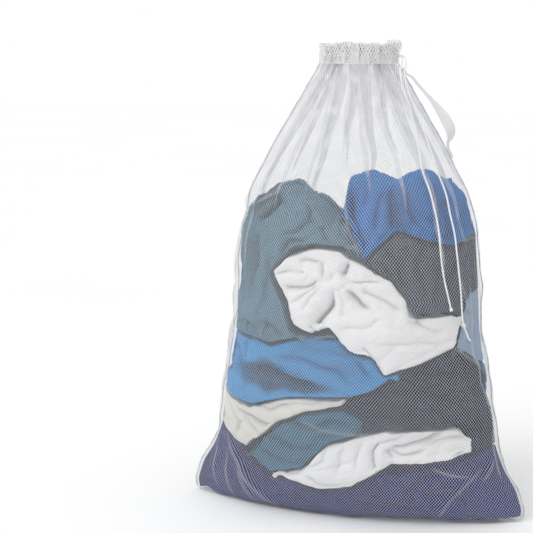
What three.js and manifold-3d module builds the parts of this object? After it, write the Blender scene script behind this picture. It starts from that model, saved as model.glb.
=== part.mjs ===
// A cinched mesh laundry bag, standing full of washing: two net panels sewn into a sack, a folded
// casing with a drawstring at the mouth, a webbing carry strap on the right side seam, and the load.
// Millimetres, +Z up, the front panel towards -Y. The origin is on the floor under the middle.

import * as THREE from 'three';
import { mergeVertices } from 'three/addons/utils/BufferGeometryUtils.js';
import Module from 'manifold-3d';

// ---------------------------------------------------------------- driving dimensions

const CASING_BOTTOM = 788; // the net ends here and the drawstring casing begins
const CASING_TOP = 813;
const NET_WALL = 2; // the net and its wrinkles as one even wall
const SEAM_HALF = 1.8; // half the thickness of a seam, across the bag
const SEAM_OUTSIDE = 2.5; // how far a side seam stands out of the sack
const GAP = 0.4; // between pieces that touch on the real bag

// The sack from the floor to the casing: height, half width, half depth and how sharply the two
// panels meet at the side seams (1 is an ellipse, more is a lens with pointed corners).
const RINGS = [
  [0, 300, 75, 1.7],
  [20, 304, 90, 1.65],
  [57, 292, 103, 1.5],
  [90, 271, 113, 1.35],
  [128, 256, 120, 1.2],
  [218, 243, 131, 1],
  [336, 221, 142, 1],
  [416, 218, 140, 1],
  [501, 211, 130, 1],
  [572, 191, 112, 1],
  [653, 149, 80, 1],
  [757, 86, 44, 1],
  [CASING_BOTTOM, 68, 35, 1],
];
const NET_TOP = CASING_BOTTOM - GAP;
const PANEL_COLUMNS = 20;
const FLOOR_SEAM_HALF_LENGTH = 292; // the bottom seam's half length, just short of the corners

const CORD_RADIUS = 1.5;
const CORD_HEIGHT = 800; // the drawstring runs round the casing at this height
const CORD_RING = { halfWidth: 65, halfDepth: 32 };
const CHANNEL_RADIUS = 2.7; // the tunnel that the casing leaves for the cord
const CASING_THICKNESS = 9; // gathered cloth on both sides of the cord
const CORD_EXIT = 0.23; // half the angle that the casing leaves open at the right seam, in radians
const SLIT_OFFSET = 1.9; // how far each tail lies from the middle of that slit
const SHORT_KNOT = { centre: [184, -85.4, 383.5], radius: 3.2 };
const LONG_KNOT = { centre: [202, -67.8, 356.2], radius: 4.4 };

const STRAP_WIDTH = 19;
const STRAP_THICKNESS = 1.4;
const STRAP_TOP = [85.5, 768]; // where the strap leaves the seam above, x and z
const STRAP_BOTTOM = [155.5, 650]; // and where it comes back to it below
const UPPER_TAB = [770, 781]; // heights between which each end of the strap lies on the seam
const LOWER_TAB = [630, 644];
const UPPER_BARTACK = [773, 777]; // and between which it is sewn down
const LOWER_BARTACK = [635, 639];

const LOAD_CLEARANCE = 3; // from the net's inside to the washing
const GARMENT_GAP = 3; // between one garment and the next
const ROOM_TOP = 700; // the washing lies below this height
const FRONT = -200; // depths past the net on either side, where garments that touch it end
const BACK = 200;
const BEHIND = 4; // the garments at the back of the load begin just behind the middle

// ---------------------------------------------------------------- helpers

const wasm = await Module();
wasm.setup();

function closed(geometry) {
  const bare = geometry.clone();
  bare.deleteAttribute('normal');
  bare.deleteAttribute('uv');
  const nearest = 1e-4; // corners closer than this are one
  return mergeVertices(bare, nearest);
}

function toSolid(geometry) {
  const merged = closed(geometry);
  return new wasm.Manifold(new wasm.Mesh({
    numProp: 3,
    vertProperties: new Float32Array(merged.attributes.position.array),
    triVerts: new Uint32Array(merged.index.array),
  }));
}

function toGeometry(solid) {
  const { vertProperties, triVerts } = solid.getMesh();
  const geometry = new THREE.BufferGeometry();
  geometry.setAttribute('position', new THREE.BufferAttribute(vertProperties, 3));
  geometry.setIndex(new THREE.BufferAttribute(triVerts, 1));
  return geometry;
}

// Moves every corner of a geometry to where place(x, y, z) says.
function bend(geometry, place) {
  const corners = geometry.attributes.position;
  for (let i = 0; i < corners.count; i++) {
    corners.setXYZ(i, ...place(corners.getX(i), corners.getY(i), corners.getZ(i)));
  }
  return closed(geometry);
}

// The sack's half width, half depth and sharpness at a height, between the two nearest rings.
function ringAt(height) {
  const last = RINGS.length - 1;
  const above = Math.min(last, Math.max(1, RINGS.findIndex(([z]) => z >= height)));
  const [low, high] = [RINGS[above - 1], RINGS[above]];
  const share = (height - low[0]) / (high[0] - low[0]);
  return low.slice(1).map((value, k) => value + (high[k + 1] - value) * share);
}

// A point on one half of the sack, inset from its outer skin: across runs from -1 at the left seam
// to 1 at the right one, and side is -1 for the front and 1 for the back.
function skinPoint(across, height, side, inset, seamGap) {
  const [halfWidth, halfDepth, sharpness] = ringAt(height);
  const angle = across * Math.PI / 2;
  const bulge = Math.max(0, Math.cos(angle)) ** sharpness;
  return [
    (halfWidth - inset) * Math.sin(angle),
    side * (seamGap + (halfDepth - inset - seamGap) * bulge),
    height,
  ];
}

const nodes = new THREE.Group();

function addNode(name, geometry, colour, roughness = 0.9) {
  const material = new THREE.MeshStandardMaterial({ color: colour, roughness, metalness: 0 });
  const mesh = new THREE.Mesh(geometry, material);
  mesh.name = name;
  nodes.add(mesh);
}

// ---------------------------------------------------------------- net panels and seams

const NET_WHITE = 0xeeeef2;
const SEAM_WHITE = 0xf4f4f6;
const STRAP_WHITE = 0xededf0;

// One half of the sack: a flat strip on the floor from the bottom seam out, then up to the casing.
// A box grid is bent into it: x goes across, y goes up the panel and z through the wall.
function netPanel(side) {
  const seamGap = SEAM_HALF + GAP;
  const heights = RINGS.map(([z]) => Math.min(z, NET_TOP));
  const rows = heights.length; // one row more than the rings: the bottom seam's edge
  const grid = new THREE.BoxGeometry(2, 1, 1, PANEL_COLUMNS, rows, 1);
  return bend(grid, (x, y, z) => {
    const row = Math.round((y + 0.5) * rows);
    const inner = z < 0 ? NET_WALL : 0;
    const across = -side * x;
    if (row === 0) {
      const edge = FLOOR_SEAM_HALF_LENGTH * Math.sin(across * Math.PI / 2);
      return [edge, side * seamGap, inner];
    }
    const [px, py, pz] = skinPoint(across, heights[row - 1], side, inner, seamGap);
    return [px, py, row === 1 ? inner : pz];
  });
}

// The overlocked seam allowance that stands out along one side of the sack.
function sideSeam(side) {
  const inside = 4; // how far it reaches in between the panels
  const heights = RINGS.map(([z]) => Math.min(z, NET_TOP));
  const rows = heights.length - 1;
  const grid = new THREE.BoxGeometry(1, 2 * SEAM_HALF, 1, 1, 1, rows);
  return bend(grid, (x, y, z) => {
    const height = heights[Math.round((z + 0.5) * rows)];
    const [halfWidth] = ringAt(height);
    const reach = halfWidth + (x * side > 0 ? SEAM_OUTSIDE : -inside);
    return [side * reach, y, height];
  });
}

const BOTTOM_SEAM_HEIGHT = 3;
const bottomSeam = new THREE.BoxGeometry(2 * FLOOR_SEAM_HALF_LENGTH, 2 * SEAM_HALF, BOTTOM_SEAM_HEIGHT);
bottomSeam.translate(0, 0, BOTTOM_SEAM_HEIGHT / 2);

addNode('front_net_panel', netPanel(-1), NET_WHITE);
addNode('back_net_panel', netPanel(1), NET_WHITE);
addNode('left_side_seam', sideSeam(-1), SEAM_WHITE);
addNode('right_side_seam', sideSeam(1), SEAM_WHITE);
addNode('bottom_seam', bottomSeam, SEAM_WHITE);

// ---------------------------------------------------------------- casing and drawstring

// Round the casing, the angle is 0 at the right seam, -90 degrees at the front and 90 at the back.
function cordRingPoint(angle) {
  const { halfWidth, halfDepth } = CORD_RING;
  return new THREE.Vector3(halfWidth * Math.cos(angle), halfDepth * Math.sin(angle), CORD_HEIGHT);
}

function tube(points, radius, steps, sides = 8) {
  const section = new THREE.Shape();
  for (let i = 0; i < sides; i++) {
    const angle = 2 * Math.PI * i / sides;
    const [x, y] = [radius * Math.cos(angle), radius * Math.sin(angle)];
    if (i === 0) section.moveTo(x, y);
    else section.lineTo(x, y);
  }
  const extrudePath = new THREE.CatmullRomCurve3(points);
  return closed(new THREE.ExtrudeGeometry(section, { steps, extrudePath }));
}

function cordRing(start, end, radius, steps) {
  const points = [];
  for (let i = 0; i <= steps; i++) {
    points.push(cordRingPoint(start + (end - start) * i / steps));
  }
  return tube(points, radius, steps);
}

// Half of the folded hem round the mouth, gathered into ruffles, with the cord's tunnel through it.
// The left ends meet at the left seam and the right ends leave the slit that the cord comes out of.
function casing(side) {
  const ruffles = 7;
  const ruffleDepth = 2;
  const columns = 28;
  const leftGap = 0.004; // before the left seam's middle, in radians
  const grid = new THREE.BoxGeometry(1, 1, 1, columns, 2, 1);
  const hem = bend(grid, (x, y, z) => {
    const share = x + 0.5;
    const angle = CORD_EXIT + share * (Math.PI - CORD_EXIT - leftGap);
    const edge = y > 0 ? 1 : 0; // only the top row is ruffled
    const wave = Math.cos(2 * Math.PI * ruffles * share);
    const reach = side * z * CASING_THICKNESS + edge * ruffleDepth * wave;
    const height = CASING_BOTTOM + (y + 0.5) * (CASING_TOP - CASING_BOTTOM) + edge * ruffleDepth * wave;
    const { halfWidth, halfDepth } = CORD_RING;
    return [(halfWidth + reach) * Math.cos(angle), side * (halfDepth + reach) * Math.sin(angle), height];
  });
  const overrun = 0.2; // the tunnel goes on past both ends of the hem, in radians
  const tunnel = cordRing(-overrun, side * (Math.PI + overrun), CHANNEL_RADIUS, 30);
  return toGeometry(toSolid(hem).subtract(toSolid(tunnel)));
}

// The part of the cord that the casing holds: out of the slit, all the way round and back to it.
function cordRun() {
  const turns = 36;
  const ringEnd = 0.28; // where the cord turns off the ring towards the slit, in radians
  const points = [];
  for (let i = 0; i <= turns; i++) {
    points.push(cordRingPoint(ringEnd + (2 * Math.PI - 2 * ringEnd) * i / turns));
  }
  const slit = new THREE.Vector3(CORD_RING.halfWidth + 1, SLIT_OFFSET, CORD_HEIGHT);
  points.unshift(slit);
  points.push(slit.clone().setY(-SLIT_OFFSET));
  return tube(points, CORD_RADIUS, 44);
}

// The two free tails, from the slit down over the front of the bag.
const SHORT_TAIL = [
  [68, -1.9, 800], [72, -2.8, 800], [75.5, -6, 798], [78, -11, 792], [78, -17, 785],
  [77, -22, 777], [79, -26, 764], [84, -29, 748], [98, -38, 715], [110, -48, 680],
  [119, -59, 647], [128, -70, 614], [142, -78, 582], [153, -83, 547], [161, -88, 513],
  [165, -91, 481], [170, -92, 447], [177, -91, 416], [183, -86, 388],
];
const LONG_TAIL = [
  [68, 1.9, 800], [72, 1.6, 801], [77, -0.5, 800], [82, -5, 796], [84, -10, 789],
  [84, -15, 781], [84, -19, 772], [92, -25, 743], [108, -33, 709], [124, -41, 675],
  [138, -48, 642], [151, -56, 610], [166, -62, 577], [175, -67, 543], [184, -71, 510],
  [189, -72, 476], [193, -71, 443], [197, -71, 410], [199, -70, 382], [201, -69, 362],
];
const TAG_END = [[204, -66, 350], [207, -62, 341], [209, -60, 334], [212, -56, 327]];

const asVectors = (points) => points.map((p) => new THREE.Vector3(...p));

function tailKnot({ centre, radius }) {
  const knot = new THREE.SphereGeometry(radius, 10, 6);
  knot.scale(0.85, 0.85, 1.15);
  knot.translate(...centre);
  return closed(knot);
}

const CORD_WHITE = 0xfafafa;
addNode('front_drawstring_casing', casing(-1), SEAM_WHITE);
addNode('back_drawstring_casing', casing(1), SEAM_WHITE);
addNode('drawstring_in_casing', cordRun(), CORD_WHITE, 0.7);
addNode('drawstring_short_tail', tube(asVectors(SHORT_TAIL), CORD_RADIUS, 38), CORD_WHITE, 0.7);
addNode('drawstring_long_tail', tube(asVectors(LONG_TAIL), CORD_RADIUS, 38), CORD_WHITE, 0.7);
addNode('drawstring_tag_end', tube(asVectors(TAG_END), CORD_RADIUS, 4), CORD_WHITE, 0.7);
addNode('short_tail_knot', tailKnot(SHORT_KNOT), CORD_WHITE, 0.7);
addNode('long_tail_knot', tailKnot(LONG_KNOT), CORD_WHITE, 0.7);

// ---------------------------------------------------------------- carry strap

const strapAxis = new THREE.Vector3(
  STRAP_BOTTOM[0] - STRAP_TOP[0], 0, STRAP_BOTTOM[1] - STRAP_TOP[1],
);
const strapSpan = strapAxis.length();
strapAxis.normalize();
const strapOut = new THREE.Vector3(-strapAxis.z, 0, strapAxis.x); // away from the bag

// The webbing's middle line, from the upper sewn end out and back: shares of the span down the
// seam, and the distance away from it.
const STRAP_LINE = [
  [0.03, 5], [0.15, 9], [0.36, 17], [0.52, 22], [0.68, 25], [0.84, 23], [0.95, 14], [0.98, 5],
];
const STRAP_TWIST = 0.95; // how far the webbing turns its face to the front, in radians

function strapLoop() {
  const steps = 28;
  const line = new THREE.CatmullRomCurve3(STRAP_LINE.map(([along, out]) => new THREE.Vector3(
    STRAP_TOP[0], 0, STRAP_TOP[1],
  ).addScaledVector(strapAxis, along * strapSpan).addScaledVector(strapOut, out)));
  const grid = new THREE.BoxGeometry(STRAP_WIDTH, STRAP_THICKNESS, 1, 1, 1, steps);
  return bend(grid, (x, y, z) => {
    const share = z + 0.5;
    const centre = line.getPointAt(share);
    const along = line.getTangentAt(share);
    const across = new THREE.Vector3(0, 1, 0);
    across.applyAxisAngle(along, STRAP_TWIST * Math.sin(Math.PI * share ** 1.4) ** 2);
    const face = new THREE.Vector3().crossVectors(along, across);
    return centre.addScaledVector(across, x).addScaledVector(face, y).toArray();
  });
}

// A sewn end of the strap lies flat against the side seam between two heights, and a block of
// bartack stitches lies on it. Lift is the distance from the seam's edge to the middle of the layer.
function onSeam([lowest, highest], width, thickness, lift) {
  const [low, high] = [lowest, highest].map((z) => {
    return new THREE.Vector3(ringAt(z)[0] + SEAM_OUTSIDE, 0, z);
  });
  const along = high.clone().sub(low);
  const layer = new THREE.BoxGeometry(thickness, width, along.length());
  layer.rotateY(Math.atan2(along.x, along.z));
  const middle = low.add(high).multiplyScalar(0.5);
  const outward = new THREE.Vector3(along.z, 0, -along.x).normalize();
  middle.addScaledVector(outward, lift);
  layer.translate(middle.x, 0, middle.z);
  return closed(layer);
}

const TAB_LIFT = GAP + STRAP_THICKNESS / 2;
const BARTACK = { width: 15, thickness: 0.8 };
const BARTACK_LIFT = TAB_LIFT + STRAP_THICKNESS / 2 + GAP + BARTACK.thickness / 2;

addNode('strap_loop', strapLoop(), STRAP_WHITE, 0.75);
addNode('strap_upper_tab', onSeam(UPPER_TAB, STRAP_WIDTH, STRAP_THICKNESS, TAB_LIFT), STRAP_WHITE);
addNode('strap_lower_tab', onSeam(LOWER_TAB, STRAP_WIDTH, STRAP_THICKNESS, TAB_LIFT), STRAP_WHITE);
for (const [name, heights] of [['upper_bartack', UPPER_BARTACK], ['lower_bartack', LOWER_BARTACK]]) {
  const stitches = onSeam(heights, BARTACK.width, BARTACK.thickness, BARTACK_LIFT);
  addNode(name, stitches, CORD_WHITE, 0.7);
}

// ---------------------------------------------------------------- the washing

// The room inside the net, as a capped cylinder bent to the sack's shape.
function loadRoom() {
  const heights = RINGS.map(([z]) => z).filter((z) => z < ROOM_TOP);
  const rows = heights.length - 1;
  const inset = NET_WALL + LOAD_CLEARANCE;
  const core = new THREE.CylinderGeometry(1, 1, 1, 32, rows, false);
  return bend(core, (x, y, z) => {
    const height = heights[Math.round((y + 0.5) * rows)];
    const inCentre = Math.hypot(x, z) < 0.5; // the middle of the floor or of the top
    const [px, py] = inCentre ? [0, 0] : skinPoint(
      Math.asin(Math.max(-1, Math.min(1, x))) / (Math.PI / 2), height, Math.sign(-z) || 1, inset, 0,
    );
    return [px, py, Math.max(height, inset)];
  });
}

// Each garment fills its outline (x and z, seen from the front) between two depths. They are listed
// from the ones pressed against the net to the ones behind, and each gives way to those before it.
const GARMENTS = [
  ['white_knotted_towel', 0xf1f1f1, FRONT, -58, [
    [-119, 436], [-92, 466], [-46, 483], [4, 480], [45, 456], [85, 432], [112, 398], [116, 376],
    [194, 374], [184, 322], [130, 292], [76, 272], [56, 303], [18, 312], [-12, 352], [-45, 336],
    [-78, 350], [-90, 392],
  ]],
  ['white_twisted_cloth', 0xf3f3f4, FRONT, -52, [
    [-130, 72], [-68, 88], [-22, 140], [75, 173], [188, 178], [249, 136], [228, 112], [88, 113],
    [18, 64], [-34, 52],
  ]],
  ['cream_bundle', 0xe9e7dc, FRONT, -14, [
    [-260, 215], [-215, 205], [-167, 193], [-90, 215], [13, 227], [5, 212], [-60, 196],
    [-115, 168], [-152, 135], [-180, 115], [-260, 122],
  ]],
  ['teal_rolled_shirt', 0x4f7f92, FRONT, -30, [
    [-175, 100], [-120, 165], [-60, 192], [5, 207], [45, 189], [20, 150], [-60, 70], [-130, 72],
  ]],
  ['blue_folded_shirt', 0x3a78b5, FRONT, -20, [
    [-260, 300], [-190, 318], [-122, 309], [-63, 330], [16, 330], [90, 330], [100, 278], [60, 245],
    [13, 227], [-90, 213], [-167, 191], [-215, 203], [-260, 213],
  ]],
  ['pale_blue_shirt', 0x86a9c6, FRONT, 30, [
    [198, 388], [260, 380], [260, 290], [212, 300], [186, 322],
  ]],
  ['blue_bunched_shirt', 0x2f6fb0, FRONT, 12, [
    [-3, 560], [6, 600], [32, 615], [73, 603], [116, 614], [160, 600], [196, 560], [215, 512],
    [179, 488], [135, 500], [89, 517], [40, 466],
  ]],
  ['teal_shirt', 0x547f90, FRONT, 0, [
    [-260, 300], [-120, 308], [0, 330], [38, 464], [-5, 560], [-36, 580], [-75, 592], [-119, 588],
    [-165, 570], [-260, 560],
  ]],
  ['charcoal_trousers', 0x54575e, FRONT, 0, [
    [38, 464], [89, 517], [179, 488], [260, 505], [260, 330], [112, 300], [2, 330],
  ]],
  ['charcoal_sweater', 0x4b4f58, FRONT, 0, [
    [13, 227], [100, 280], [184, 322], [212, 326], [275, 300], [290, 150], [240, 120], [120, 105],
    [45, 150],
  ]],
  ['navy_jeans', 0x2f3668, FRONT, BACK, [
    [-320, -5], [320, -5], [320, 128], [200, 110], [60, 96], [-60, 96], [-170, 108], [-320, 110],
  ]],
  ['back_grey_fleece', 0x7b7f86, BEHIND, BACK, [
    [-320, 113], [320, 131], [320, 255], [-320, 235],
  ]],
  ['back_blue_towel', 0x4a7fb2, BEHIND, BACK, [
    [-320, 238], [320, 258], [320, 370], [60, 400], [-320, 390],
  ]],
  ['back_white_sheet', 0xeeeeee, BEHIND, BACK, [
    [-40, 400], [60, 403], [320, 373], [320, 480], [200, 560], [110, 585], [30, 560],
  ]],
  ['back_teal_shirt', 0x4f7889, BEHIND, BACK, [
    [-320, 393], [-45, 400], [25, 560], [-40, 582], [-110, 590], [-320, 570],
  ]],
];

// A garment's block: its outline, grown by a margin, from one depth to the other.
function outlineBlock(outline, near, far, margin) {
  const corners = outline.map(([x, z]) => new THREE.Vector2(x, z));
  const turned = THREE.ShapeUtils.area(corners) < 0 ? corners.reverse() : corners;
  const grown = turned.map((corner, i) => {
    const before = turned[(i + turned.length - 1) % turned.length];
    const after = turned[(i + 1) % turned.length];
    const into = corner.clone().sub(before).normalize();
    const out = after.clone().sub(corner).normalize();
    const middle = new THREE.Vector2(into.y + out.y, -into.x - out.x).normalize();
    const lean = Math.max(0.5, middle.dot(new THREE.Vector2(out.y, -out.x))); // blunts sharp corners
    const reach = margin / lean;
    return corner.clone().addScaledVector(middle, reach);
  });
  const depth = far - near + 2 * margin;
  const block = new THREE.ExtrudeGeometry(new THREE.Shape(grown), { depth, bevelEnabled: false });
  block.rotateX(Math.PI / 2); // the outline stands up, and its depth runs towards -Y
  block.translate(0, far + margin, 0);
  return toSolid(block);
}

function addLoad() {
  const room = toSolid(loadRoom());
  const placed = [];
  for (const [name, colour, near, far, outline] of GARMENTS) {
    let garment = room.intersect(outlineBlock(outline, near, far, 0));
    for (const block of placed) garment = garment.subtract(block);
    addNode(name, toGeometry(garment), colour, 0.95);
    placed.push(outlineBlock(outline, near, far, GARMENT_GAP));
  }
}

addLoad();

export default nodes;
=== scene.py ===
import math

import bpy
import numpy as np
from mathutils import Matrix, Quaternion, Vector, noise


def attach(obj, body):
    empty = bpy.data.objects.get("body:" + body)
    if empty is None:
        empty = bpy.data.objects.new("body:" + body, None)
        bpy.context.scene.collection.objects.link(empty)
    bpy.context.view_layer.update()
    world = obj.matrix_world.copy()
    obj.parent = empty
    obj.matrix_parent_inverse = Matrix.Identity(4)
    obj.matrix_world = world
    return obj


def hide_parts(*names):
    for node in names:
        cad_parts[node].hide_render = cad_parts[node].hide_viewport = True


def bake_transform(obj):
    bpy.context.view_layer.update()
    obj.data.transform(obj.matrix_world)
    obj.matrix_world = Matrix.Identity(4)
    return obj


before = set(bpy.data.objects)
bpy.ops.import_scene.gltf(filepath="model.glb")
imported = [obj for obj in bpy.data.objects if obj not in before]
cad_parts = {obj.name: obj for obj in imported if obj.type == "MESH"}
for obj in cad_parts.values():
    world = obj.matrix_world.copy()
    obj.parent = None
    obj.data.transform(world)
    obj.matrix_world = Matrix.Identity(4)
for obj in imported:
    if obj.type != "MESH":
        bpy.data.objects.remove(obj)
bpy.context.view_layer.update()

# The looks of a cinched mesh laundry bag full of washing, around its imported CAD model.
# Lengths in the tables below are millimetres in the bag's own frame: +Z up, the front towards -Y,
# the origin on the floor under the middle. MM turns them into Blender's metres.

MM = 0.001
ROOT, STRAP = "sack", "strap"

# ---- camera

CAMERA_AZIMUTH = 14.0  # degrees round from the front towards the strap side
CAMERA_DISTANCE = 2.46
CAMERA_HEIGHT = 0.85
CAMERA_LENS, SENSOR_WIDTH = 95.9, 36
AIM_LEFT = 3.69  # degrees that the camera looks past the bag, which stands right of the middle
AIM_DOWN = 9.6


def add_object(name, data):
    made = bpy.data.objects.new(name, data)
    bpy.context.scene.collection.objects.link(made)
    return made


def add_camera():
    data = bpy.data.cameras.new("camera")
    data.lens = CAMERA_LENS
    data.sensor_width = SENSOR_WIDTH
    camera = add_object("camera", data)
    azimuth = math.radians(CAMERA_AZIMUTH)
    camera.location = (
        CAMERA_DISTANCE * math.sin(azimuth), -CAMERA_DISTANCE * math.cos(azimuth), CAMERA_HEIGHT
    )
    heading = math.radians(CAMERA_AZIMUTH + AIM_LEFT)
    camera.rotation_euler = (math.radians(90 - AIM_DOWN), 0, heading)
    bpy.context.scene.camera = camera


add_camera()

# ---- mesh and node helpers


def lump(x, y, z):
    """Smooth noise at one place."""
    return noise.noise(Vector((x, y, z)))


def rise(value, start, full):
    """From 0 at the start to 1 at the full value, and no further."""
    return np.clip((value - start) / (full - start), 0, 1)


def add_layer(mesh, name, values):
    """A number for each of a mesh's points, for its material to read."""
    layer = mesh.attributes.new(name, "FLOAT", "POINT")
    layer.data.foreach_set("value", values)


def mesh_object(name, points, faces, uvs=None, smooth=True):
    """A mesh object from points in metres; uvs holds one pair per point."""
    mesh = bpy.data.meshes.new(name)
    mesh.from_pydata([tuple(p) for p in points], [], faces)
    if uvs is not None:
        layer = mesh.uv_layers.new(name="OFBake")
        corners = np.empty(len(mesh.loops), int)
        mesh.loops.foreach_get("vertex_index", corners)
        layer.data.foreach_set("uv", np.asarray(uvs, float)[corners].ravel())
    mesh.polygons.foreach_set("use_smooth", [smooth] * len(mesh.polygons))
    mesh.validate()
    return add_object(name, mesh)


def grid_faces(rows, columns, wrap=False):
    """Quads of a grid of points stored row by row; wrap joins the last column to the first."""
    faces = []
    for row in range(0, (rows - 1) * columns, columns):
        for c in range(columns if wrap else columns - 1):
            d = (c + 1) % columns
            faces.append((row + c, row + d, row + columns + d, row + columns + c))
    return faces


def tube_faces(rings, sides):
    """Faces of a closed tube: the quads round it, and a cap on each end."""
    last = (rings - 1) * sides
    caps = [tuple(range(sides))[::-1], tuple(range(last, last + sides))]
    return grid_faces(rings, sides, wrap=True) + caps


def panel_faces(rows, columns, side):
    """Quads of a sheet, turned to face outwards; side is -1 for the front."""
    faces = grid_faces(rows, columns)
    return faces if side < 0 else [face[::-1] for face in faces]


def travelled(line, power=1):
    """The distance along a line to each of its points, with every step raised to a power."""
    return np.r_[0, np.cumsum(np.linalg.norm(np.diff(line, axis=0), axis=1) ** power)]


def finish_piece(piece, material, slot, *nodes):
    """Gives a piece of the sack its material, and says which CAD nodes it replaces. The slot is not
    used.
    """
    piece.data.materials.append(material)
    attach(piece, ROOT)
    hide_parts(*nodes)


NOISE_ROUGHNESS = 0.55
FABRIC_SPECULAR = 0.25


class Shader:
    """A small wrapper that makes node materials short to write."""

    def __init__(self, name):
        self.material = bpy.data.materials.new(name)
        self.material.use_nodes = True
        self.tree = self.material.node_tree
        self.surface = self.tree.nodes["Principled BSDF"]

    def node(self, kind, **settings):
        made = self.tree.nodes.new(kind)
        for key, value in settings.items():
            setattr(made, key, value)
        return made

    def feed(self, socket, value):
        if isinstance(value, bpy.types.NodeSocket):
            self.tree.links.new(value, socket)
        elif value is not None:
            socket.default_value = value

    def math(self, operation, a, b=None, c=None):
        made = self.node("ShaderNodeMath", operation=operation)
        for socket, value in zip(made.inputs, (a, b, c)):
            self.feed(socket, value)
        return made.outputs[0]

    def blend(self, first, share, second):
        """That share of the first value, and the rest of the second."""
        return self.math("MULTIPLY_ADD", first, share, self.math("MULTIPLY", second, 1 - share))

    def texture(self, kind, vector, output, settings, **options):
        made = self.node(kind, **options)
        self.feed(made.inputs["Vector"], vector)
        for name, value in settings.items():
            made.inputs[name].default_value = value
        return made.outputs[output]

    def coordinates(self, kind="Object", turn=(0, 0, 0)):
        source = self.node("ShaderNodeTexCoord").outputs[kind]
        return self.texture("ShaderNodeMapping", source, 0, {"Rotation": turn})

    def noise(self, vector, scale, detail):
        settings = {"Scale": scale, "Detail": detail, "Roughness": NOISE_ROUGHNESS}
        return self.texture("ShaderNodeTexNoise", vector, "Fac", settings)

    def wave(self, vector, direction, scale, distortion=0.0, detail_scale=1.0):
        settings = {"Scale": scale, "Distortion": distortion, "Detail Scale": detail_scale}
        return self.texture(
            "ShaderNodeTexWave", vector, "Fac", settings,
            wave_type="BANDS", bands_direction=direction,
        )

    def ramp(self, value, *stops):
        made = self.node("ShaderNodeValToRGB")
        elements = made.color_ramp.elements
        while len(elements) < len(stops):
            elements.new(0.5)
        for element, (position, colour) in zip(elements, stops):
            element.position = position
            element.color = (*colour, 1)
        self.feed(made.inputs["Fac"], value)
        return made.outputs["Color"]

    def split(self, vector):
        made = self.node("ShaderNodeSeparateXYZ")
        self.feed(made.inputs[0], vector)
        return made.outputs

    def bump(self, height, distance, strength):
        made = self.node("ShaderNodeBump")
        made.inputs["Distance"].default_value = distance
        made.inputs["Strength"].default_value = strength
        self.feed(made.inputs["Height"], height)
        return made.outputs["Normal"]

    def finish(self, colour, roughness, normal, sheen=0.0):
        self.feed(self.surface.inputs["Base Color"], colour)
        self.feed(self.surface.inputs["Roughness"], roughness)
        self.feed(self.surface.inputs["Normal"], normal)
        self.surface.inputs["Sheen Weight"].default_value = sheen
        self.surface.inputs["Specular IOR Level"].default_value = FABRIC_SPECULAR
        return self.material


def tint(colour, factor):
    return tuple(min(1.0, c * factor) for c in colour)


# ---- cord

CORD_DIAMETER = 0.003
CORD_STEP = 0.0007  # between the rings of a cord
STRANDS, BRAID_PITCH = 4, 2.6  # the pitch in diameters
BRAID_VALLEY, BRAID_RELIEF = 0.9, 0.13  # shares of the radius
CORD_END = 0.25  # the radius that a cord's end closes to, as a share
SHORT_TAIL = [
    (68, -1.9, 800), (72, -2.8, 800), (75.5, -6, 798), (78, -11, 792), (78, -17, 785),
    (77, -22, 777), (79, -26, 764), (84, -29, 748), (98, -38, 715), (110, -48, 680),
    (119, -59, 647), (128, -70, 614), (142, -78, 582), (153, -83, 547), (161, -88, 513),
    (165, -91, 481), (170, -92, 447), (177, -91, 416), (183, -86, 388),
]
LONG_TAIL = [
    (68, 1.9, 800), (72, 1.6, 801), (77, -0.5, 800), (82, -5, 796), (84, -10, 789),
    (84, -15, 781), (84, -19, 772), (92, -25, 743), (108, -33, 709), (124, -41, 675),
    (138, -48, 642), (151, -56, 610), (166, -62, 577), (175, -67, 543), (184, -71, 510),
    (189, -72, 476), (193, -71, 443), (197, -71, 410), (199, -70, 382), (201, -69, 362),
    (204, -66, 350), (207, -62, 341), (209, -60, 334), (212, -56, 327),
]


SPLINE_SPANS = (((0, 1), (1, 2), (2, 3)), ((0, 2), (1, 3)), ((1, 2),))


def catmull_rom(points, per_span):
    """A smooth, centripetal line through the points, with per_span steps between each two."""
    points = np.asarray(points, float)
    ends = [2 * points[0] - points[1], *points, 2 * points[-1] - points[-2]]
    line = []
    for near in zip(ends, ends[1:], ends[2:], ends[3:]):
        knots = travelled(near, 0.5)
        for step in range(per_span):
            t = knots[1] + (knots[2] - knots[1]) * step / per_span
            mixed = near
            for spans in SPLINE_SPANS:
                mixed = [
                    ((knots[j] - t) * a + (t - knots[i]) * b) / (knots[j] - knots[i])
                    for (i, j), a, b in zip(spans, mixed, mixed[1:])
                ]
            line.append(mixed[0])
    line.append(points[-1])
    return np.array(line)


def evenly(line, step):
    """The line cut into equal steps of about that length."""
    lengths = travelled(line)
    marks = np.linspace(0, lengths[-1], max(2, round(lengths[-1] / step)))
    return np.stack([np.interp(marks, lengths, line[:, k]) for k in range(3)], 1), lengths[-1]


def tangents_along(line):
    tangents = np.gradient(line, axis=0)
    return tangents / np.linalg.norm(tangents, axis=1)[:, None]


def frames_along(line):
    """Two steady crosswise directions along a line."""
    tangents = tangents_along(line)
    side = np.cross(tangents[0], (0, 0, 1.0))
    sides = []
    for tangent in tangents:
        side = side - tangent * side.dot(tangent)
        side = side / np.linalg.norm(side)
        sides.append(side)
    sides = np.array(sides)
    return sides, np.cross(tangents, sides)


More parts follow.
